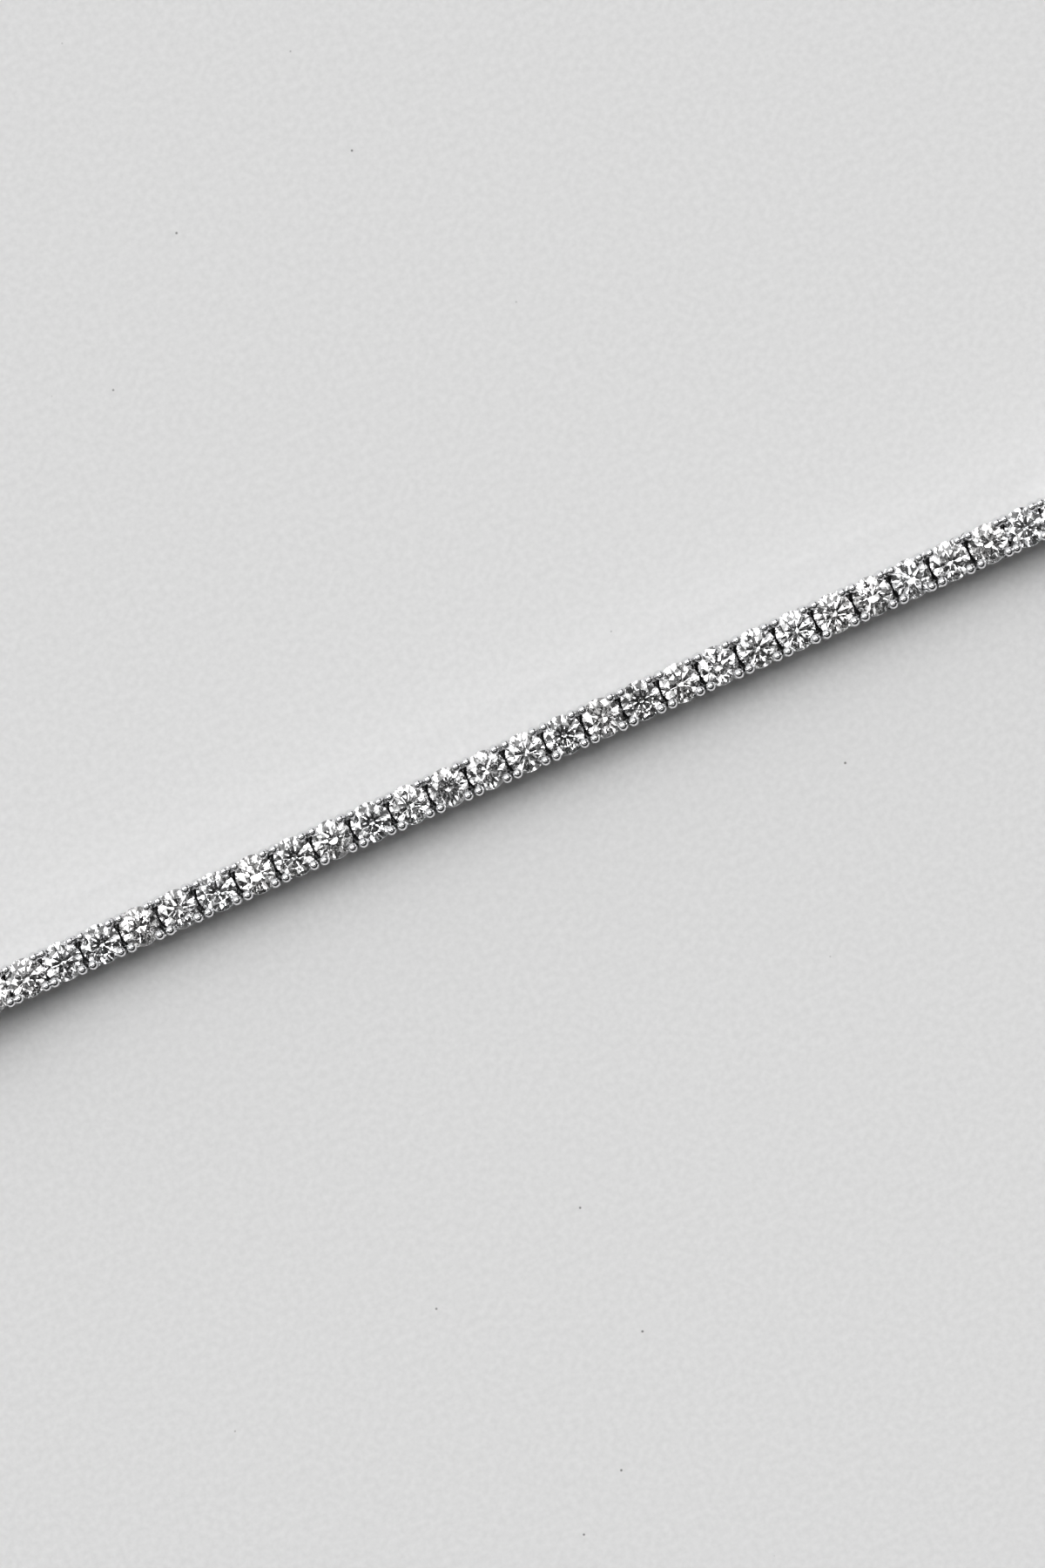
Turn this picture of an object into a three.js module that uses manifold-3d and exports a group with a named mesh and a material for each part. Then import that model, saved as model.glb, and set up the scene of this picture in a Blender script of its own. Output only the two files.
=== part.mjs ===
// A tennis bracelet: one row of round brilliants in open-backed four-prong settings, joined by
// small hinges into a closed loop with one plain clasp. It lies flattened on its back: the upper
// run shows its stones to the sky, the lower run lies stones down link for link under it, and the
// two runs meet in a tight fold at each end. Millimetres, +X along the bracelet, +Y across it, +Z up.
import * as THREE from "three";
import { mergeVertices } from "three/addons/utils/BufferGeometryUtils.js";
import Module from "manifold-3d";

const wasm = await Module();
wasm.setup();

// ---------------------------------------------------------------- driving dimensions
const STONE_DIAMETER = 2.4;
const PITCH = 1.05 * STONE_DIAMETER;      // from one hinge to the next
const HALF_PITCH = PITCH / 2;

// Heights in a link are counted from its inner face, which lies on the skin, to its prong tips.
const HINGE_HEIGHT = 0.5;
const CULET_HEIGHT = 0.55;
const GALLERY_HEIGHT = 1.25;
const GIRDLE_HEIGHT = 1.61;
const BEAD_HEIGHT = 1.64;
const TIP_HEIGHT = 2.16;

// A round brilliant: heights and the table's width as shares of its diameter.
const CROWN_SHARE = 0.165;
const TABLE_SHARE = 0.57;
const STONE_SIDES = 8;

// The basket's eight sides: four walls, and four narrow corners that rise as prongs.
const PRONG_ANGLE = THREE.MathUtils.degToRad(48);        // from the line of the bracelet
const PRONG_HALF_WIDTH = THREE.MathUtils.degToRad(10.5);
const BASKET_LEVELS = [
  { height: 0, inner: 0.35, outer: 0.97 },
  { height: GALLERY_HEIGHT, inner: 1.0, outer: 1.3 },
  { height: BEAD_HEIGHT, inner: 1.28, outer: 1.48 },
  { height: TIP_HEIGHT, inner: 1.08, outer: 1.34 },
];
const WALL_TOP = 1;                        // the level where the walls end and prongs go on
const PRONG_TOP = 3;

// The hinges between links.
const BAR_REACH = 0.8;                     // where a hinge bar starts, from its link's middle
const BAR_DEPTH = 0.4;
const KNUCKLE_RADIUS = 0.2;
const KNUCKLE_SIDES = 8;
const LEAF_DEPTH = 0.34;
const TONGUE_WIDTH = 0.5;
const CHEEK_INSIDE = 0.32;
const CHEEK_OUTSIDE = 0.7;
const BAR_WIDTH = 2 * CHEEK_OUTSIDE;
const STONE_BRIDGE = { reach: 1.04, width: 0.24, depth: 0.1 };

// The way round: the level upper run, a ramp and a fold at each end, and the lower run.
const TOP_LINKS = 25;
const RAMP_LINKS = 4;                      // they climb from the upper run to the fold
const FOLD_ANGLE = THREE.MathUtils.degToRad(65.43);      // it lines the lower links up with the upper
const LOWER_LINKS = 30;                    // in one stretch that ends at the clasp
const RUN_GAP = 0.08;                      // between the backs of the two runs

const CLASP_WIDTH = 2.4;
const CLASP_CHAMFER = 0.3;
const CLASP_END_GAP = 0.42;                // from the clasp's body to its hinge lines

// ---------------------------------------------------------------- materials
const whiteGold = new THREE.MeshStandardMaterial({ color: 0xd9dadb, roughness: 0.15, metalness: 1 });
const diamond = new THREE.MeshStandardMaterial({ color: 0xf4f6f8, roughness: 0.02, metalness: 0 });

// ---------------------------------------------------------------- solids
/** A geometry with only merged positions and no collapsed triangles, as a manifold solid. */
function solidOf(geometry) {
  const bare = geometry.clone();
  bare.deleteAttribute("normal");
  bare.deleteAttribute("uv");
  const merged = mergeVertices(bare, 1e-4);
  const corners = merged.index.array;
  const kept = [];
  for (let i = 0; i < corners.length; i += 3) {
    const [a, b, c] = [corners[i], corners[i + 1], corners[i + 2]];
    if (a !== b && b !== c && c !== a) {
      kept.push(a, b, c);
    }
  }
  return new wasm.Manifold(new wasm.Mesh({
    numProp: 3,
    vertProperties: new Float32Array(merged.attributes.position.array),
    triVerts: new Uint32Array(kept),
  }));
}

/** Many overlapping geometries soldered into one. */
function soldered(geometries) {
  const whole = geometries.map(solidOf).reduce((sum, next) => sum.add(next));
  const mesh = whole.getMesh();
  const geometry = new THREE.BufferGeometry();
  geometry.setAttribute("position", new THREE.BufferAttribute(mesh.vertProperties, 3));
  geometry.setIndex(new THREE.BufferAttribute(mesh.triVerts, 1));
  geometry.computeVertexNormals();
  return geometry;
}

/** A box between two corners. */
function boxBetween(low, high) {
  const size = high.map((value, i) => value - low[i]);
  const middle = high.map((value, i) => (value + low[i]) / 2);
  return new THREE.BoxGeometry(...size).translate(...middle);
}

/** A round brilliant standing over the origin, its table up. */
function brilliant() {
  const radius = STONE_DIAMETER / 2;
  const table = GIRDLE_HEIGHT + CROWN_SHARE * STONE_DIAMETER;
  const profile = [
    new THREE.Vector2(0, CULET_HEIGHT),
    new THREE.Vector2(radius, GIRDLE_HEIGHT),
    new THREE.Vector2(TABLE_SHARE * radius, table),
    new THREE.Vector2(0, table),
  ];
  const halfSide = Math.PI / STONE_SIDES;
  return new THREE.LatheGeometry(profile, STONE_SIDES, halfSide).rotateX(Math.PI / 2);
}

/** An open-backed basket over the origin: four walls whose corners rise as prongs. */
function basket() {
  const angles = [];
  for (const quarter of [0, 1, 2, 3]) {
    const lean = quarter % 2 === 0 ? PRONG_ANGLE : Math.PI / 2 - PRONG_ANGLE;
    const corner = quarter * Math.PI / 2 + lean;
    angles.push(corner - PRONG_HALF_WIDTH, corner + PRONG_HALF_WIDTH);
  }
  const positions = [];
  for (const level of BASKET_LEVELS) {
    for (const radius of [level.inner, level.outer]) {
      for (const angle of angles) {
        positions.push(radius * Math.cos(angle), radius * Math.sin(angle), level.height);
      }
    }
  }
  const indices = [];
  const face = (a, b, c, d) => indices.push(a, b, c, a, c, d);
  const [INNER, OUTER] = [0, 1];
  const point = (level, edge, side) => (level * 2 + edge) * angles.length + side % angles.length;
  for (let side = 0; side < angles.length; side += 1) {
    const section = (level) => [
      point(level, INNER, side),
      point(level, OUTER, side),
      point(level, OUTER, side + 1),
      point(level, INNER, side + 1),
    ];
    const isProng = side % 2 === 0;
    const top = isProng ? PRONG_TOP : WALL_TOP;
    face(...section(0).reverse());
    face(...section(top));
    for (let low = 0; low < top; low += 1) {
      const under = section(low);
      const over = section(low + 1);
      for (let i = 0; i < 4; i += 1) {
        const j = (i + 1) % 4;
        const joinsNextSide = i % 2 === 0;
        // Below the wall's top a prong and the walls beside it run into each other.
        if (low >= WALL_TOP || !joinsNextSide) {
          face(under[i], under[j], over[j], over[i]);
        }
      }
    }
  }
  const geometry = new THREE.BufferGeometry();
  geometry.setAttribute("position", new THREE.Float32BufferAttribute(positions, 3));
  geometry.setIndex(indices);
  return geometry;
}

// ---------------------------------------------------------------- hinges
/** A hinge leaf that ends in a knuckle round the hinge line, between two places across. */
function hingeLeaf(from, hinge, low, high) {
  const leaf = boxBetween(
    [Math.min(from, hinge), low, HINGE_HEIGHT - LEAF_DEPTH / 2],
    [Math.max(from, hinge), high, HINGE_HEIGHT + LEAF_DEPTH / 2],
  );
  const width = high - low;
  const knuckle = new THREE.CylinderGeometry(KNUCKLE_RADIUS, KNUCKLE_RADIUS, width, KNUCKLE_SIDES)
    .translate(hinge, (low + high) / 2, HINGE_HEIGHT);
  return [leaf, knuckle];
}

/** The single leaf at a link's leading end. */
function tongue(from, hinge) {
  return hingeLeaf(from, hinge, -TONGUE_WIDTH / 2, TONGUE_WIDTH / 2);
}

/** The two cheeks at a link's trailing end, which take the next link's tongue between them. */
function fork(from, hinge) {
  return [
    ...hingeLeaf(from, hinge, CHEEK_INSIDE, CHEEK_OUTSIDE),
    ...hingeLeaf(from, hinge, -CHEEK_OUTSIDE, -CHEEK_INSIDE),
  ];
}

/** A plain bar across the hinge between two links that are soldered in one solid. */
function hingeBar() {
  const reach = HALF_PITCH - BAR_REACH;
  return boxBetween(
    [-reach, -BAR_WIDTH / 2, -BAR_DEPTH / 2],
    [reach, BAR_WIDTH / 2, BAR_DEPTH / 2],
  );
}

// ---------------------------------------------------------------- the way round
/** The slope of each ramp link: it eases evenly from the fold down to the level upper run. */
function rampSlopes(steepest) {
  const slopes = [];
  for (let i = 1; i <= RAMP_LINKS; i += 1) {
    slopes.push(steepest * i / RAMP_LINKS);
  }
  return slopes;
}

/** How high the upper run's hinge line ends over the lower one, for a given steepest slope. */
function riseFor(steepest) {
  const fold = Math.sin(FOLD_ANGLE) + Math.sin(2 * FOLD_ANGLE);
  const ramp = rampSlopes(steepest).reduce((sum, slope) => sum + Math.sin(slope), 0);
  return PITCH * (fold - ramp);
}

/** The steepest ramp slope that brings the upper run down onto the lower one. */
function solveSteepest() {
  const wanted = 2 * HINGE_HEIGHT + RUN_GAP;
  let [low, high] = [0, Math.PI / 3];
  for (let i = 0; i < 50; i += 1) {
    const middle = (low + high) / 2;
    if (riseFor(middle) > wanted) {
      low = middle;
    } else {
      high = middle;
    }
  }
  return (low + high) / 2;
}

/** The headings from the middle of the upper run to the end of the right fold: 0 is along +X. */
function halfHeadings() {
  const level = new Array((TOP_LINKS - 1) / 2).fill(0);
  const fold = [Math.PI - 2 * FOLD_ANGLE, Math.PI - FOLD_ANGLE].map((angle) => -angle);
  return [...level, ...rampSlopes(solveSteepest()), ...fold];
}

const LOWER_HINGE_Z = TIP_HEIGHT - HINGE_HEIGHT;
const UPPER_HINGE_Z = LOWER_HINGE_Z + 2 * HINGE_HEIGHT + RUN_GAP;

/** Where each of those links sits: the middle of its hinge line, and its heading. */
function halfStations() {
  const stations = [];
  let [x, z] = [HALF_PITCH, UPPER_HINGE_Z];
  for (const heading of halfHeadings()) {
    const along = new THREE.Vector2(Math.cos(heading), Math.sin(heading)).multiplyScalar(PITCH);
    stations.push({ x: x + along.x / 2, z: z + along.y / 2, heading });
    x += along.x;
    z += along.y;
  }
  return { stations, foldEnd: x };
}

/** Where the lower run's links sit, from the clasp to the left fold. */
function lowerStations(foldEnd) {
  const stations = [];
  for (let i = 1; i <= LOWER_LINKS; i += 1) {
    const x = (LOWER_LINKS - i) * PITCH + HALF_PITCH - foldEnd;
    stations.push({ x, z: LOWER_HINGE_Z, heading: -Math.PI });
  }
  return stations;
}

/** The same place on the left half, mirrored, for a link that is met from the other way. */
function mirrored(station) {
  return { x: -station.x, z: station.z, heading: -station.heading };
}

/** The matrix that puts a link, built standing over the origin, in its place. */
function linkMatrix({ x, z, heading }) {
  const drop = new THREE.Matrix4().makeTranslation(0, 0, -HINGE_HEIGHT);
  const turn = new THREE.Matrix4().makeRotationY(-heading);
  const move = new THREE.Matrix4().makeTranslation(x, 0, z);
  return move.multiply(turn).multiply(drop);
}

/** The matrix at the hinge half way between two neighbouring links. */
function hingeMatrix(first, second) {
  const turn = new THREE.Matrix4().makeRotationY(-(first.heading + second.heading) / 2);
  const x = first.x + HALF_PITCH * Math.cos(first.heading);
  const z = first.z + HALF_PITCH * Math.sin(first.heading);
  return new THREE.Matrix4().makeTranslation(x, 0, z).multiply(turn);
}

// ---------------------------------------------------------------- assembly
const bracelet = new THREE.Group();

function addMesh(name, geometry, material) {
  const mesh = new THREE.Mesh(geometry, material);
  mesh.name = name;
  bracelet.add(mesh);
}

/** One run of links in a row: its settings soldered by hinge bars, and its stones in a string. */
function addRun(name, stations) {
  const metal = [];
  const stones = [];
  stations.forEach((station, i) => {
    const place = linkMatrix(station);
    metal.push(basket().applyMatrix4(place));
    stones.push(brilliant().applyMatrix4(place));
    if (i > 0) {
      const hinge = hingeMatrix(stations[i - 1], station);
      metal.push(hingeBar().applyMatrix4(hinge));
      stones.push(stoneBridge().applyMatrix4(hinge));
    }
  });
  for (const leaf of fork(-BAR_REACH, -HALF_PITCH)) {
    metal.push(leaf.applyMatrix4(linkMatrix(stations[0])));
  }
  for (const leaf of tongue(BAR_REACH, HALF_PITCH)) {
    metal.push(leaf.applyMatrix4(linkMatrix(stations[stations.length - 1])));
  }
  const plural = stations.length > 1 ? "s" : "";
  addMesh(`setting${plural}_${name}`, soldered(metal), whiteGold);
  addMesh(`stone${plural}_${name}`, soldered(stones), diamond);
}

/** A thin bridge between two neighbouring girdles, which strings a run's stones together. */
function stoneBridge() {
  const { reach, width, depth } = STONE_BRIDGE;
  const half = HALF_PITCH - reach;
  const middle = GIRDLE_HEIGHT - HINGE_HEIGHT;
  return boxBetween([-half, -width / 2, middle - depth / 2], [half, width / 2, middle + depth / 2]);
}

/** The clasp: one plain chamfered bar, as thick as the links, between two hinge lines. */
function addClasp(start, end) {
  const halfLength = (end - start) / 2;
  const body = halfLength - CLASP_END_GAP;
  const across = CLASP_WIDTH / 2 - CLASP_CHAMFER;
  const section = new THREE.Shape([
    new THREE.Vector2(-across, CLASP_CHAMFER),
    new THREE.Vector2(across, CLASP_CHAMFER),
    new THREE.Vector2(across, TIP_HEIGHT - CLASP_CHAMFER),
    new THREE.Vector2(-across, TIP_HEIGHT - CLASP_CHAMFER),
  ]);
  const bar = new THREE.ExtrudeGeometry(section, {
    depth: 2 * (body - CLASP_CHAMFER),
    bevelEnabled: true,
    bevelThickness: CLASP_CHAMFER,
    bevelSize: CLASP_CHAMFER,
    bevelSegments: 1,
  });
  bar.translate(0, 0, -(body - CLASP_CHAMFER));
  bar.rotateY(Math.PI / 2).rotateX(Math.PI / 2);
  const inside = body - CLASP_CHAMFER;
  const parts = [bar, ...tongue(inside, halfLength), ...fork(-inside, -halfLength)];
  const place = linkMatrix({ x: (start + end) / 2, z: LOWER_HINGE_Z, heading: -Math.PI });
  addMesh("clasp", soldered(parts).applyMatrix4(place), whiteGold);
}

const { stations: right, foldEnd } = halfStations();
const left = right.map(mirrored).reverse();
const level = (TOP_LINKS - 1) / 2;
const foldStart = level + RAMP_LINKS;
const foldLinks = right.length - foldStart;
const middleStation = { x: 0, z: UPPER_HINGE_Z, heading: 0 };

addRun("top", [...left.slice(-level), middleStation, ...right.slice(0, level)]);
addRun("ramp_right", right.slice(level, foldStart));
addRun("upper_fold_right", [right[foldStart]]);
addRun("lower_fold_right", [right[foldStart + 1]]);
addClasp(LOWER_LINKS * PITCH - foldEnd, foldEnd);
addRun("lower", lowerStations(foldEnd));
addRun("lower_fold_left", [left[0]]);
addRun("upper_fold_left", [left[1]]);
addRun("ramp_left", left.slice(foldLinks, foldLinks + RAMP_LINKS));

export default bracelet;
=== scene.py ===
"""A tennis bracelet lying flattened on a pale floor: brilliants in four-prong white-gold settings.

Every link is built once in its own frame, in millimetres: x along the bracelet, y across it, and
z up from the link's inner face. The loop's stations, worked out as the CAD works them out, put
copies of it in place. One piece of settings and one of stones stand for each CAD run.
"""

import math
import random

import bmesh
import bpy
import numpy as np
from mathutils import Matrix, Vector


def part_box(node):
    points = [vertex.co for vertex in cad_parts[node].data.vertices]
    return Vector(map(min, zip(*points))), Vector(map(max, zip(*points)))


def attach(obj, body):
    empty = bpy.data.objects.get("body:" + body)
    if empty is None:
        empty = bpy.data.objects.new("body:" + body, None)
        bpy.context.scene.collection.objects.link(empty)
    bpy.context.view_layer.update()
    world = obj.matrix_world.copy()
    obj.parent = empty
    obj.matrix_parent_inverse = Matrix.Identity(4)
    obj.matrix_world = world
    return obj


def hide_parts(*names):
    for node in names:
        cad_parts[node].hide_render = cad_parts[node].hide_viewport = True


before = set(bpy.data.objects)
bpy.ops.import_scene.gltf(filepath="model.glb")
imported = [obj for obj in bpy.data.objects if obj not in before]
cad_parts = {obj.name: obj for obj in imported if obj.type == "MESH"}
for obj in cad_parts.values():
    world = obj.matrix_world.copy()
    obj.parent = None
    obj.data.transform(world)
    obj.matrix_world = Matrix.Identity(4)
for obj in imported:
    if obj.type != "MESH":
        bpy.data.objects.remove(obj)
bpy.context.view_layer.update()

MM = 0.001

# ---------------------------------------------------------------- driving dimensions, in mm
STONE_DIAMETER = 2.4
STONE_RADIUS = STONE_DIAMETER / 2
PITCH = 1.05 * STONE_DIAMETER
HALF_PITCH = PITCH / 2

# Heights in a link, from its inner face.
HINGE_HEIGHT = 0.5
CULET_HEIGHT = 0.55
TIP_HEIGHT = 2.16

# The cut of a round brilliant: shares of the diameter, and its crown and pavilion angles in
# degrees, which differ a little from stone to stone as small stones' do.
TABLE_SHARE = 0.57
GIRDLE_SHARE = 0.03
CUTS = [(34.5, 40.75), (33.0, 39.6), (35.5, 42.3), (37.5, 41.5)]
STAR_LENGTH = 0.52                         # of the way from the table's edge to the girdle
LOWER_HALF_LENGTH = 0.77                   # of the way from the girdle to the culet
GIRDLE_SIDES = 64

USUAL_CROWN, USUAL_PAVILION = (math.tan(math.radians(angle)) for angle in CUTS[0])
GIRDLE_LOW = CULET_HEIGHT + STONE_RADIUS * USUAL_PAVILION
GIRDLE_HIGH = GIRDLE_LOW + GIRDLE_SHARE * STONE_DIAMETER
TABLE_HEIGHT = GIRDLE_HIGH + STONE_RADIUS * (1 - TABLE_SHARE) * USUAL_CROWN

STONE_LEAN = 3.0                           # the most that a stone is set off level, in degrees

# The basket's back, going round its section: x radius, y radius, height.
CUP_SECTION = [
    (0.77, 0.84, 0.03),
    (0.90, 0.98, 0.60),
    (0.87, 0.95, 0.64),
    (0.76, 0.83, 0.64),
    (0.73, 0.80, 0.60),
    (0.60, 0.67, 0.03),
    (0.63, 0.70, 0.0),
    (0.74, 0.81, 0.0),
]
RAIL = {"radius_x": 1.12, "radius_y": 1.22, "height": 1.24, "thick": 0.17, "tall": 0.2}
RAIL_CORNERS = 8
RING_SIDES = 40

# The prongs. A wire's rows are height, share of the way out to the bead, and radius.
WIRE = [
    (0.04, 0.62, 0.13),
    (0.10, 0.63, 0.17),
    (0.60, 0.76, 0.19),
    (1.10, 0.88, 0.20),
    (1.50, 0.97, 0.205),
    (GIRDLE_LOW, 0.985, 0.21),
    (GIRDLE_HIGH, 0.995, 0.215),
]
WIRE_SIDES = 16
BEAD_RADIUS = 0.32
BEAD_X = 0.363 * PITCH
BEAD_Y = 0.373 * PITCH
BEAD_SHIFTS_X = (-0.02, 0.012)             # how far beads stray from there
BEAD_SHIFTS_Y = (-0.02, 0.0)
BEAD_SIZES = (0.93, 1.0)                   # as shares of the radius
BEAD_ROWS = 9
BEAD_LOWEST, BEAD_HIGHEST = -35, 85        # the latitudes it is built between, in degrees
SEAT_GAP = 0.006                           # between a prong's notch and its stone

# The hinges.
KNUCKLE_RADIUS = 0.2
KNUCKLE_SIDES = 12
TONGUE_WIDTH = 0.5
CHEEK_INSIDE = 0.32
CHEEK_OUTSIDE = 0.7
LEAF_START = 0.7
PIN_RADIUS = 0.09
PIN_SIDES = 12
PIN_PROUD = 0.03
PIN_BEVEL = 0.02
PIN_END_SHARE = 0.6                        # of its radius, at its bevelled ends

# The way round the loop, as in the CAD.
TOP_LINKS = 25
RAMP_LINKS = 4
FOLD_ANGLE = math.radians(65.43)
LOWER_LINKS = 30
RUN_GAP = 0.08
LOWER_HINGE_Z = TIP_HEIGHT - HINGE_HEIGHT
UPPER_HINGE_Z = LOWER_HINGE_Z + 2 * HINGE_HEIGHT + RUN_GAP

CLASP_WIDTH = 2.4
CLASP_ROUND = 0.28
CLASP_ROUND_STEPS = 5
CLASP_END_GAP = 0.42

# Edges sharper than this stay crisp, on metal and on stones.
SMOOTH_ANGLE = math.radians(35)
FACET_ANGLE = math.radians(0.5)

# ---------------------------------------------------------------- finishes
# Noise and dust have scales in features a metre. The stops are colours or grey levels over a
# noise's level, or over what the comment beside them says.
# Painted shade: the metal's colour runs from near black where ambient occlusion finds it enclosed
# to its gold colour where it is open.
GOLD_AND_PAINTED_SHADE_STOPS = [(0.2, (0.02, 0.02, 0.02)), (0.5, (0.85, 0.85, 0.86))]    # how open a place is
PAINTED_SHADE_REACH = 1.5                        # how far, in mm, the painted shade reaches into recesses
PAINTED_SHADE_SAMPLES = 8
WEAR = {"scale": 900, "detail": 4.0}
WEAR_ROUGHNESS = (0.04, 0.14)

DIAMOND_INDEX = 2.417
DIAMOND_SHADE = {"scale": 260, "detail": 1.0}
DIAMOND_STOPS = [(0.35, (1.0, 0.985, 0.975)), (0.65, (0.975, 0.985, 1.0))]

PAPER_GRAIN = {"scale": 2500, "detail": 3.0}
PAPER_STOPS = [(0.3, 0.76), (0.7, 0.825)]
DUST_SCALE = 250
DUST_STOPS = [(0.01, 0.25), (0.025, 1.0)]  # the distance from the nearest speck's middle

# ---------------------------------------------------------------- view and light
# The view, counted in pitches.
VIEW_HEIGHT = 37.0
VIEW_X = -0.366
VIEW_Y = -0.648
VIEW_ROLL = math.radians(24.28)
LENS = 200.0
SENSOR = 36.0

# The light, as radiances. WINDOWS goes by the bearing round the bracelet's line, as a share of
# the half turn from the far horizon over the top to the near one. What it gives is scaled by
# PANES, by how far a direction leans to the right on the unit sphere, and by CAMERA_SHADE, by the
# direction's height there. ROOM, by height too, is added.
WINDOWS = [
    (0.0, 0.7), (0.20, 0.75), (0.28, 1.6), (0.35, 2.9), (0.41, 4.8), (0.45, 6.2), (0.47, 6.2),
    (0.48, 0.02), (0.64, 0.02), (0.645, 1.8), (0.67, 1.8), (0.675, 0.02), (1.0, 0.0),
]
PANES = [(-0.8, -0.47), (-0.37, -0.12), (-0.02, 0.22), (0.3, 0.5)]
PANE_EDGE = 0.01
PANE_SHARE = 1.2
BETWEEN_PANES = 0.1
CAMERA_SHADE = [(0.935, 1.0), (0.955, 0.03)]
ROOM = [(0.0, 0.6), (0.06, 0.5), (0.12, 0.02), (1.0, 0.02)]
PEAK = 10.0                                # above every level, because a ramp's colours end at 1
BACKDROP = 0.71                            # what a low view sees past the floor's edge
FLOOR_SIZE = 6.0                           # in metres

SEED = 11


# ---------------------------------------------------------------- mesh arithmetic
# A part is a pair: an array of points, and a list of faces, each a list of point numbers.
def merged(parts):
    """Several parts as one."""
    points = []
    faces = []
    start = 0
    for part_points, part_faces in parts:
        points.append(part_points)
        faces.extend([[start + i for i in face] for face in part_faces])
        start += len(part_points)
    return np.vstack(points), faces


def moved(part, matrix):
    """A part under a 4 by 4 matrix."""
    points, faces = part
    matrix = np.array(matrix)
    return points @ matrix[:3, :3].T + matrix[:3, 3], faces


def loft(loops, closed=False):
    """Skins loops of equal length. Its ends are capped unless it closes on itself."""
    count = len(loops[0])
    rows = len(loops)
    faces = []
    for row in range(rows if closed else rows - 1):
        low = row * count
        high = (row + 1) % rows * count
        for i in range(count):
            j = (i + 1) % count
            faces.append([low + i, low + j, high + j, high + i])
    if not closed:
        faces.append(list(range(count))[::-1])
        faces.append([(rows - 1) * count + i for i in range(count)])
    return np.array([point for loop in loops for point in loop], float), faces


def ellipse(radius_x, radius_y, height, count):
    """A level loop round the z axis."""
    turns = [2 * math.pi * i / count for i in range(count)]
    return [(radius_x * math.cos(a), radius_y * math.sin(a), height) for a in turns]


def part_of(form):
    """A bmesh as a part. The bmesh is freed."""
    form.verts.index_update()
    points = np.array([vert.co[:] for vert in form.verts])
    faces = [[vert.index for vert in face.verts] for face in form.faces]
    form.free()
    return points, faces


def piece(name, part, material, nodes, sharp=SMOOTH_ANGLE):
    """A mesh object in metres from a part in mm, standing for some CAD nodes."""
    points, faces = part
    mesh = bpy.data.meshes.new(name)
    mesh.from_pydata((points * MM).tolist(), [], faces)
    mesh.materials.append(material)
    mesh.shade_smooth()
    mesh.set_sharp_from_angle(angle=sharp)
    obj = bpy.data.objects.new(name, mesh)
    bpy.context.scene.collection.objects.link(obj)
    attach(obj, "root")
    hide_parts(*nodes)
    return obj


# ---------------------------------------------------------------- the stone
def polar(radius, eighths, height):
    """A point at a radius and height, its bearing counted in eighths of a turn."""
    bearing = math.pi / 4 * eighths
    return Vector((radius * math.cos(bearing), radius * math.sin(bearing), height))


def facet_planes(crown_slope, pavilion_slope):
    """Three points on each facet's plane, for the 56 facets round a brilliant and its table."""
    table_radius = TABLE_SHARE * STONE_RADIUS
    table_height = GIRDLE_HIGH + (STONE_RADIUS - table_radius) * crown_slope
    half = math.cos(math.pi / 8)
    star_radius = table_radius + STAR_LENGTH * (STONE_RADIUS - table_radius)
    star_height = GIRDLE_HIGH + (STONE_RADIUS - star_radius * half) * crown_slope
    lower_radius = (1 - LOWER_HALF_LENGTH) * STONE_RADIUS
    lower_height = GIRDLE_LOW - (STONE_RADIUS - lower_radius * half) * pavilion_slope
    culet = Vector((0, 0, GIRDLE_LOW - STONE_RADIUS * pavilion_slope))
    planes = [[polar(table_radius, k, table_height) for k in (0, 2, 4)]]
    for k in range(8):
        across = Vector((-math.sin(math.pi / 4 * k), math.cos(math.pi / 4 * k), 0))
        crown_foot = polar(STONE_RADIUS, k, GIRDLE_HIGH)
        pavilion_head = polar(STONE_RADIUS, k, GIRDLE_LOW)
        planes.append([crown_foot, crown_foot + across, polar(table_radius, k, table_height)])
        planes.append([pavilion_head, pavilion_head + across, culet])
        star = polar(star_radius, k + 0.5, star_height)
        edge = [polar(table_radius, k + side, table_height) for side in (0, 1)]
        planes.append([star, *edge])
        lower = polar(lower_radius, k + 0.5, lower_height)
        for side in (0, 1):
            high = [polar(STONE_RADIUS, k + turn, GIRDLE_HIGH) for turn in (side, 0.5)]
            low = [polar(STONE_RADIUS, k + turn, GIRDLE_LOW) for turn in (side, 0.5)]
            planes.append([star, *high])
            planes.append([lower, *low])
    return planes


def cut_brilliant(crown_angle, pavilion_angle):
    """A round brilliant as a part, cut from a round blank one facet at a time."""
    crown_slope = math.tan(math.radians(crown_angle))
    pavilion_slope = math.tan(math.radians(pavilion_angle))
    blank = loft([ellipse(STONE_RADIUS, STONE_RADIUS, z, GIRDLE_SIDES) for z in (0, TIP_HEIGHT)])
    heart = Vector((0, 0, (GIRDLE_LOW + GIRDLE_HIGH) / 2))
    mesh = bpy.data.meshes.new("blank")
    mesh.from_pydata(blank[0].tolist(), [], blank[1])
    form = bmesh.new()
    form.from_mesh(mesh)
    bpy.data.meshes.remove(mesh)
    for a, b, c in facet_planes(crown_slope, pavilion_slope):
        outwards = (b - a).cross(c - a).normalized()
        if (heart - a).dot(outwards) > 0:
            outwards = -outwards
        everything = form.verts[:] + form.edges[:] + form.faces[:]
        cut = bmesh.ops.bisect_plane(
            form, geom=everything, dist=1e-6, plane_co=a, plane_no=outwards, clear_outer=True
        )
        rim = [item for item in cut["geom_cut"] if isinstance(item, bmesh.types.BMEdge)]
        open_rim = [edge for edge in rim if edge.is_boundary]
        if open_rim:
            bmesh.ops.edgeloop_fill(form, edges=open_rim)
    bmesh.ops.remove_doubles(form, verts=form.verts[:], dist=1e-5)
    bmesh.ops.recalc_face_normals(form, faces=form.faces[:])
    return part_of(form)


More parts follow.
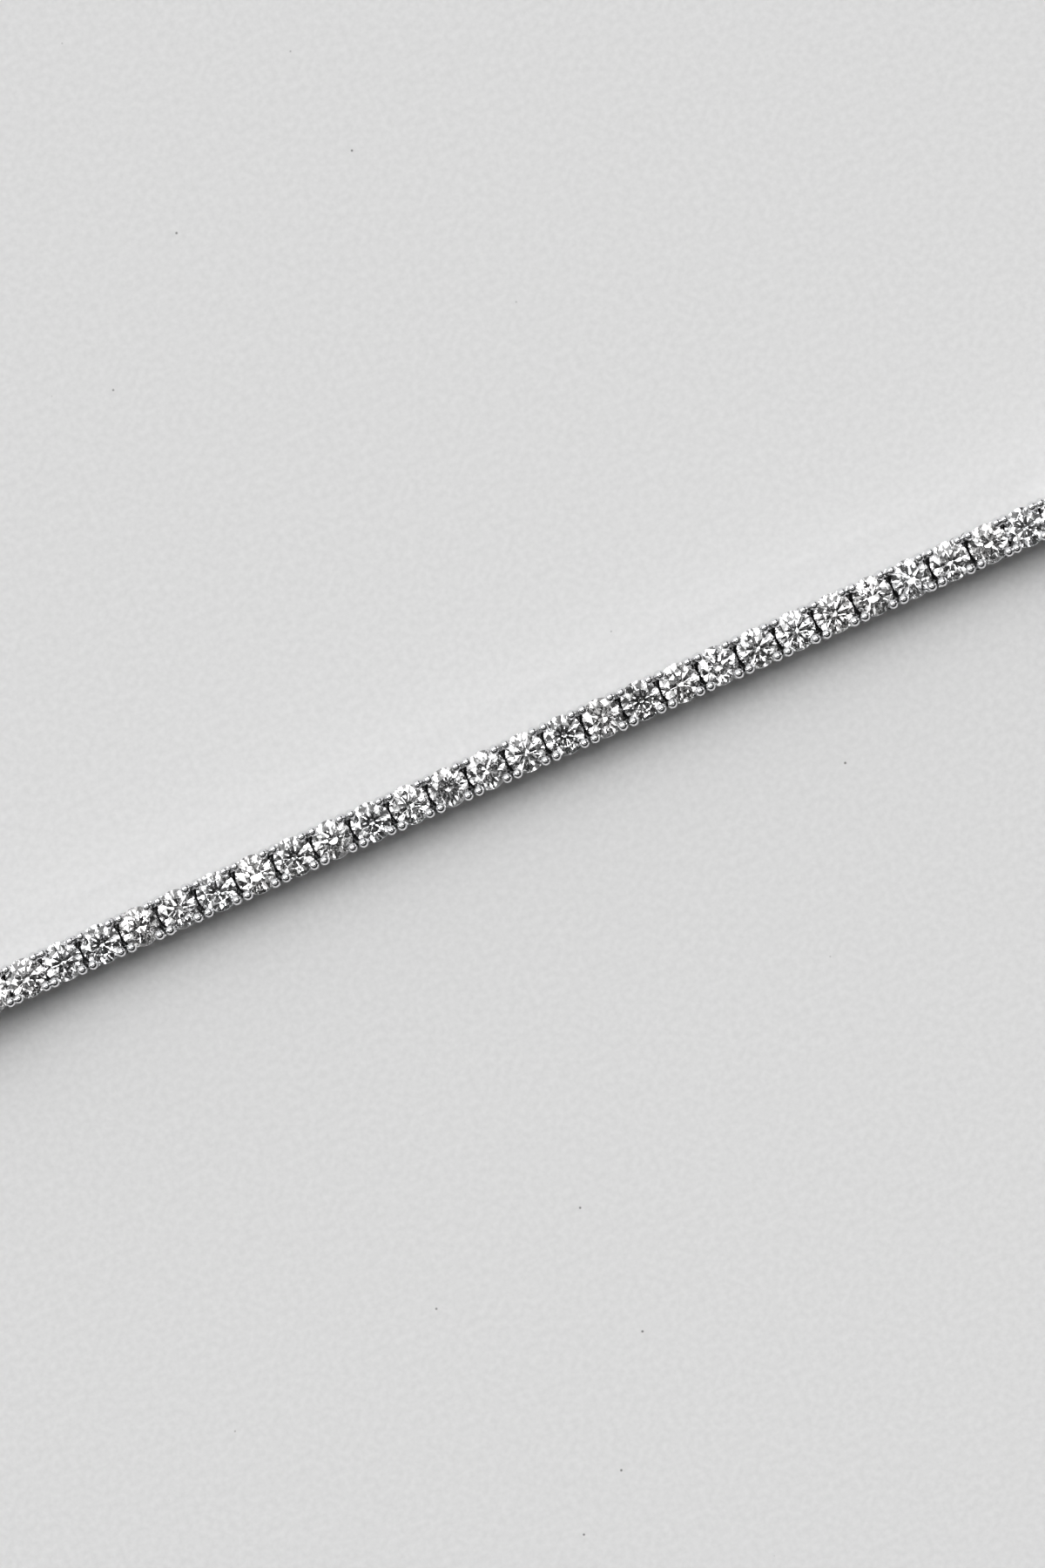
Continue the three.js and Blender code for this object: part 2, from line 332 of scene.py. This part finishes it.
# ---------------------------------------------------------------- the setting
def ring(section):
    """A closed ring whose section is a list of (x radius, y radius, height)."""
    return loft([ellipse(*corner, RING_SIDES) for corner in section], closed=True)


def rail(radius_x, radius_y, height, thick, tall):
    """A ring of rounded section round the stone, measured to its outside."""
    section = []
    for i in range(RAIL_CORNERS):
        turn = 2 * math.pi * i / RAIL_CORNERS
        inwards = thick / 2 * (1 - math.cos(turn))
        rise = tall / 2 * math.sin(turn)
        section.append((radius_x - inwards, radius_y - inwards, height + rise))
    return ring(section)


def outside_stone(points):
    """Moves points out of the stone's seat, as a cutter leaves a notch in a prong."""
    radius = np.hypot(points[:, 0], points[:, 1])
    over = np.maximum(points[:, 2] - GIRDLE_HIGH, 0) / USUAL_CROWN
    under = np.maximum(GIRDLE_LOW - points[:, 2], 0) / USUAL_PAVILION
    least = STONE_RADIUS + SEAT_GAP - over - under
    grow = np.maximum(least / radius, 1)
    notched = points.copy()
    notched[:, :2] *= grow[:, None]
    return notched


def disc(x, y, radius, height):
    """A level loop of a prong's wire or bead, round a point."""
    return [(x + dx, y + dy, z) for dx, dy, z in ellipse(radius, radius, height, WIRE_SIDES)]


def prong(side_x, side_y, rng):
    """One prong: a wire that leans out past the girdle and ends in a round bead."""
    bead_x = side_x * (BEAD_X + rng.uniform(*BEAD_SHIFTS_X))
    bead_y = side_y * (BEAD_Y + rng.uniform(*BEAD_SHIFTS_Y))
    bead = BEAD_RADIUS * rng.uniform(*BEAD_SIZES)
    loops = [disc(out * bead_x, out * bead_y, radius, height) for height, out, radius in WIRE]
    for i in range(BEAD_ROWS):
        share = i / (BEAD_ROWS - 1)
        latitude = math.radians(BEAD_LOWEST + (BEAD_HIGHEST - BEAD_LOWEST) * share)
        height = TIP_HEIGHT - bead + bead * math.sin(latitude)
        loops.append(disc(bead_x, bead_y, bead * math.cos(latitude), height))
    points, faces = loft(loops)
    return outside_stone(points), faces


def leaf(start, hinge, low, high):
    """A hinge leaf between two places across, its far end round about the hinge line."""
    way = 1 if hinge > start else -1
    outline = [(start, HINGE_HEIGHT - KNUCKLE_RADIUS)]
    for i in range(KNUCKLE_SIDES + 1):
        turn = math.pi * (i / KNUCKLE_SIDES - 0.5)
        along = hinge + way * KNUCKLE_RADIUS * math.cos(turn)
        outline.append((along, HINGE_HEIGHT + KNUCKLE_RADIUS * math.sin(turn)))
    outline.append((start, HINGE_HEIGHT + KNUCKLE_RADIUS))
    if way < 0:
        outline.reverse()
    return loft([[(x, y, z) for x, z in outline] for y in (high, low)])


def pin(hinge):
    """A hinge pin across a hinge line, headed a little proud of the cheeks."""
    end = CHEEK_OUTSIDE + PIN_PROUD
    bevel = end - PIN_BEVEL
    loops = []
    for y, share in [(end, PIN_END_SHARE), (bevel, 1), (-bevel, 1), (-end, PIN_END_SHARE)]:
        radius = PIN_RADIUS * share
        circle = ellipse(radius, radius, 0, PIN_SIDES)
        loops.append([(hinge + x, y, HINGE_HEIGHT + z) for x, z, _ in circle])
    return loft(loops)


def hinge_leaves(start, hinge_x):
    """The tongue at the leading end and the forked cheeks at the trailing end."""
    return [
        leaf(start, hinge_x, -TONGUE_WIDTH / 2, TONGUE_WIDTH / 2),
        leaf(-start, -hinge_x, CHEEK_INSIDE, CHEEK_OUTSIDE),
        leaf(-start, -hinge_x, -CHEEK_OUTSIDE, -CHEEK_INSIDE),
    ]


def setting(rng):
    """One link's metal: back cup, gallery rail, four prongs, hinge leaves and pin."""
    corners = [(x, y) for x in (-1, 1) for y in (-1, 1)]
    return merged([
        ring(CUP_SECTION),
        rail(**RAIL),
        *[prong(x, y, rng) for x, y in corners],
        *hinge_leaves(LEAF_START, HALF_PITCH),
        pin(-HALF_PITCH),
    ])


# ---------------------------------------------------------------- the loop
def ramp_slopes(steepest):
    """The slope of each ramp link, evenly up to the fold."""
    return [steepest * (i + 1) / RAMP_LINKS for i in range(RAMP_LINKS)]


def solve_steepest():
    """The steepest ramp slope that brings the upper run down onto the lower one."""
    wanted = (UPPER_HINGE_Z - LOWER_HINGE_Z) / PITCH
    fold = math.sin(FOLD_ANGLE) + math.sin(2 * FOLD_ANGLE)
    low, high = 0.0, math.pi / 3
    for _ in range(50):
        middle = (low + high) / 2
        if fold - sum(math.sin(slope) for slope in ramp_slopes(middle)) > wanted:
            low = middle
        else:
            high = middle
    return (low + high) / 2


def half_stations():
    """(x, z, heading) of the links from the middle on to the fold's end, and that end's x."""
    headings = [0.0] * ((TOP_LINKS - 1) // 2)
    headings += ramp_slopes(solve_steepest())
    headings += [2 * FOLD_ANGLE - math.pi, FOLD_ANGLE - math.pi]
    x, z = HALF_PITCH, UPPER_HINGE_Z
    stations = []
    for heading in headings:
        step_x, step_z = PITCH * math.cos(heading), PITCH * math.sin(heading)
        stations.append((x + step_x / 2, z + step_z / 2, heading))
        x += step_x
        z += step_z
    return stations, x


def link_matrix(x, z, heading):
    """Puts a link at a station of the loop."""
    turn = Matrix.Rotation(-heading, 4, "Y")
    return Matrix.Translation((x, 0, z)) @ turn @ Matrix.Translation((0, 0, -HINGE_HEIGHT))


def runs():
    """The stations of each CAD run of links, by its nodes' ending, and where the clasp goes."""
    right, fold_end = half_stations()
    left = [(-x, z, -heading) for x, z, heading in right][::-1]
    level = (TOP_LINKS - 1) // 2
    fold = level + RAMP_LINKS
    middle = (0.0, UPPER_HINGE_Z, 0.0)
    lower = [(i + 0.5) * PITCH - fold_end for i in range(LOWER_LINKS)]
    named = {
        "s_top": [*left[-level:], middle, *right[:level]],
        "s_ramp_right": right[level:fold],
        "_upper_fold_right": right[fold:fold + 1],
        "_lower_fold_right": right[fold + 1:],
        "s_lower": [(x, LOWER_HINGE_Z, -math.pi) for x in lower],
        "_lower_fold_left": left[:1],
        "_upper_fold_left": left[1:2],
        "s_ramp_left": left[2:2 + RAMP_LINKS],
    }
    return named, (LOWER_LINKS * PITCH - fold_end, fold_end)


def inside_cad(ending, stations):
    """Stops the script if a run's stations aren't where the CAD has its settings."""
    low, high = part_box("setting" + ending)
    for x, z, _ in stations:
        if not (low.x < x * MM < high.x and low.z < z * MM < high.z):
            raise ValueError(f"a link of {ending} isn't inside its CAD box")


# ---------------------------------------------------------------- materials
def node_material(name):
    """A new node material, its node tree and its shader."""
    material = bpy.data.materials.new(name)
    material.use_nodes = True
    tree = material.node_tree
    return material, tree, tree.nodes["Principled BSDF"]


def greys(stops):
    """(place, grey level) stops as (place, colour) stops."""
    return [(place, (level, level, level)) for place, level in stops]


def texture(tree, kind, scale):
    """A texture node in object space, at a scale in features a metre."""
    place = tree.nodes.new("ShaderNodeTexCoord")
    node = tree.nodes.new(kind)
    node.inputs["Scale"].default_value = scale
    tree.links.new(place.outputs["Object"], node.inputs["Vector"])
    return node


def noise(tree, scale, detail):
    """A noise's level in object space, from 0 to 1."""
    node = texture(tree, "ShaderNodeTexNoise", scale)
    node.inputs["Detail"].default_value = detail
    return node.outputs["Fac"]


def colour_ramp(tree, source, stops):
    """A colour ramp over a value, from (place, colour) stops."""
    ramp = tree.nodes.new("ShaderNodeValToRGB")
    tree.links.new(source, ramp.inputs["Fac"])
    elements = ramp.color_ramp.elements
    while len(elements) < len(stops):
        elements.new(0.5)
    for element, (place, colour) in zip(elements, stops):
        element.position = place
        element.color = (*colour, 1.0)
    return ramp.outputs["Color"]


def white_gold():
    """Rhodium-plated white gold: a bright polish, faintly worn, with painted shade that darkens
    its colour in recesses.
    """
    material, tree, shader = node_material("polished_white_gold")
    shader.inputs["Metallic"].default_value = 1.0
    # Painted shade: ambient occlusion turns the base colour nearly black where the metal is
    # enclosed.
    painted_shade = tree.nodes.new("ShaderNodeAmbientOcclusion")
    painted_shade.samples = PAINTED_SHADE_SAMPLES
    painted_shade.inputs["Distance"].default_value = PAINTED_SHADE_REACH * MM
    tint = colour_ramp(tree, painted_shade.outputs["AO"], GOLD_AND_PAINTED_SHADE_STOPS)
    tree.links.new(tint, shader.inputs["Base Color"])
    wear = tree.nodes.new("ShaderNodeMapRange")
    wear.inputs["To Min"].default_value = min(WEAR_ROUGHNESS)
    wear.inputs["To Max"].default_value = max(WEAR_ROUGHNESS)
    tree.links.new(noise(tree, **WEAR), wear.inputs["Value"])
    tree.links.new(wear.outputs["Result"], shader.inputs["Roughness"])
    return material


def diamond():
    """Colourless brilliants, each a shade warmer or cooler than the next."""
    material, tree, shader = node_material("clear_diamond")
    shader.inputs["Roughness"].default_value = 0.0
    shader.inputs["IOR"].default_value = DIAMOND_INDEX
    shader.inputs["Transmission Weight"].default_value = 1.0
    tint = colour_ramp(tree, noise(tree, **DIAMOND_SHADE), DIAMOND_STOPS)
    tree.links.new(tint, shader.inputs["Base Color"])
    return material


def paper():
    """A plain pale matt floor, faintly mottled, with rare specks of dust."""
    material, tree, shader = node_material("paper")
    shader.inputs["Roughness"].default_value = 0.9
    shader.inputs["Specular IOR Level"].default_value = 0.1
    mottle = colour_ramp(tree, noise(tree, **PAPER_GRAIN), greys(PAPER_STOPS))
    dust = texture(tree, "ShaderNodeTexVoronoi", DUST_SCALE)
    specks = colour_ramp(tree, dust.outputs["Distance"], greys(DUST_STOPS))
    tint = tree.nodes.new("ShaderNodeVectorMath")
    tint.operation = "MULTIPLY"
    tree.links.new(mottle, tint.inputs[0])
    tree.links.new(specks, tint.inputs[1])
    tree.links.new(tint.outputs["Vector"], shader.inputs["Base Color"])
    return material


# ---------------------------------------------------------------- assembly
def clasp(half_length):
    """The clasp's part: a plain bar with rounded edges, a tongue and a fork, in link heights."""
    body = half_length - CLASP_END_GAP
    form = bmesh.new()
    bmesh.ops.create_cube(form, size=1.0)
    size = Matrix.Diagonal((2 * body, CLASP_WIDTH, TIP_HEIGHT, 1))
    rise = Matrix.Translation((0, 0, TIP_HEIGHT / 2))
    bmesh.ops.transform(form, matrix=rise @ size, verts=form.verts[:])
    bmesh.ops.bevel(
        form, geom=form.edges[:], offset=CLASP_ROUND, segments=CLASP_ROUND_STEPS, profile=0.5,
        affect="EDGES",
    )
    leaves = hinge_leaves(body - CLASP_ROUND, half_length)
    return merged([part_of(form), *leaves, pin(-half_length)])


def stone_turn(rng):
    """How a stone is turned in its setting, and set a little off level about its girdle."""
    spin = Matrix.Rotation(rng.uniform(0, math.pi / 4), 4, "Z")
    lean = Matrix.Rotation(math.radians(rng.uniform(-STONE_LEAN, STONE_LEAN)), 4, "X")
    nod = Matrix.Rotation(math.radians(rng.uniform(-STONE_LEAN, STONE_LEAN)), 4, "Y")
    girdle = Matrix.Translation((0, 0, GIRDLE_HIGH))
    return girdle @ lean @ nod @ girdle.inverted() @ spin


def build_bracelet():
    """Every run of settings and of stones, and the clasp."""
    gold = white_gold()
    glass = diamond()
    rng = random.Random(SEED)
    cuts = [cut_brilliant(*angles) for angles in CUTS]
    named, (clasp_start, clasp_end) = runs()
    for ending, stations in named.items():
        inside_cad(ending, stations)
        metal = []
        stones = []
        for station in stations:
            place = link_matrix(*station)
            metal.append(moved(setting(rng), place))
            seat = place @ stone_turn(rng)
            stones.append(moved(rng.choice(cuts), seat))
        node = "setting" + ending
        piece(f"fine_{node}", merged(metal), gold, [node])
        node = "stone" + ending
        piece(f"fine_{node}", merged(stones), glass, [node], sharp=FACET_ANGLE)
    place = link_matrix((clasp_start + clasp_end) / 2, LOWER_HINGE_Z, -math.pi)
    part = moved(clasp((clasp_end - clasp_start) / 2), place)
    piece("fine_clasp", part, gold, ["clasp"])


def build_floor():
    """A broad plain floor under it."""
    bpy.ops.mesh.primitive_plane_add(size=FLOOR_SIZE)
    floor = bpy.context.object
    floor.name = "floor"
    floor.data.materials.append(paper())


def math_node(tree, operation, *values):
    """A maths node over some values, each another node's output or a plain number."""
    node = tree.nodes.new("ShaderNodeMath")
    node.operation = operation
    for socket, value in zip(node.inputs, values):
        if isinstance(value, bpy.types.NodeSocket):
            tree.links.new(value, socket)
        else:
            socket.default_value = value
    return node.outputs["Value"]


def levels_over(tree, source, stops):
    """A level over a value from -1 to 1, from (value, level) stops. The levels are over PEAK."""
    share = math_node(tree, "MULTIPLY_ADD", source, 0.5, 0.5)
    return colour_ramp(tree, share, greys([((at + 1) / 2, level / PEAK) for at, level in stops]))


def pane_stops():
    """The windows' panes, side by side with dark bars between them, as (lean, share) stops."""
    stops = []
    for left, right in PANES:
        stops.append((left - PANE_EDGE, BETWEEN_PANES))
        stops.append((left, PANE_SHARE))
        stops.append((right, PANE_SHARE))
        stops.append((right + PANE_EDGE, BETWEEN_PANES))
    return stops


def build_light():
    """A dim room with a broad window over the bracelet's far side and a slit on its near side."""
    world = bpy.data.worlds.new("studio")
    bpy.context.scene.world = world
    world.use_nodes = True
    tree = world.node_tree
    place = tree.nodes.new("ShaderNodeTexCoord")
    split = tree.nodes.new("ShaderNodeSeparateXYZ")
    tree.links.new(place.outputs["Generated"], split.inputs["Vector"])
    x, y, z = (split.outputs[axis] for axis in "XYZ")
    bearing = math_node(tree, "DIVIDE", math_node(tree, "ARCTAN2", z, y), math.pi)
    windows = levels_over(tree, bearing, WINDOWS)
    light = math_node(tree, "MULTIPLY", windows, levels_over(tree, x, pane_stops()))
    light = math_node(tree, "MULTIPLY", light, levels_over(tree, z, CAMERA_SHADE))
    light = math_node(tree, "MULTIPLY", light, PEAK ** 2)
    light = math_node(tree, "ADD", light, levels_over(tree, z, ROOM))
    seen = tree.nodes.new("ShaderNodeLightPath").outputs["Is Camera Ray"]
    light = math_node(tree, "MULTIPLY", light, math_node(tree, "SUBTRACT", 1.0, seen))
    light = math_node(tree, "MULTIPLY_ADD", seen, BACKDROP / PEAK, light)
    background = tree.nodes["Background"]
    tree.links.new(light, background.inputs["Color"])
    background.inputs["Strength"].default_value = PEAK


def build_camera():
    """Looks straight down, rolled so that the bracelet climbs to the right."""
    data = bpy.data.cameras.new("camera")
    data.lens = LENS
    data.sensor_width = SENSOR
    data.clip_start = 0.01
    data.clip_end = 20.0
    camera = bpy.data.objects.new("camera", data)
    bpy.context.scene.collection.objects.link(camera)
    table_z = UPPER_HINGE_Z + TABLE_HEIGHT - HINGE_HEIGHT
    distance = VIEW_HEIGHT * PITCH / 2 * LENS / (SENSOR / 2)
    camera.location = (VIEW_X * PITCH * MM, VIEW_Y * PITCH * MM, (table_z + distance) * MM)
    camera.rotation_euler = (0, 0, -VIEW_ROLL)
    bpy.context.scene.camera = camera


def set_up_render():
    """Enough bounces for stones behind stones, and plain colours."""
    scene = bpy.context.scene
    scene.view_settings.view_transform = "Standard"
    scene.cycles.max_bounces = 24
    scene.cycles.glossy_bounces = 20
    scene.cycles.transmission_bounces = 24
    scene.cycles.use_denoising = True


build_camera()
build_bracelet()
build_floor()
build_light()
set_up_render()
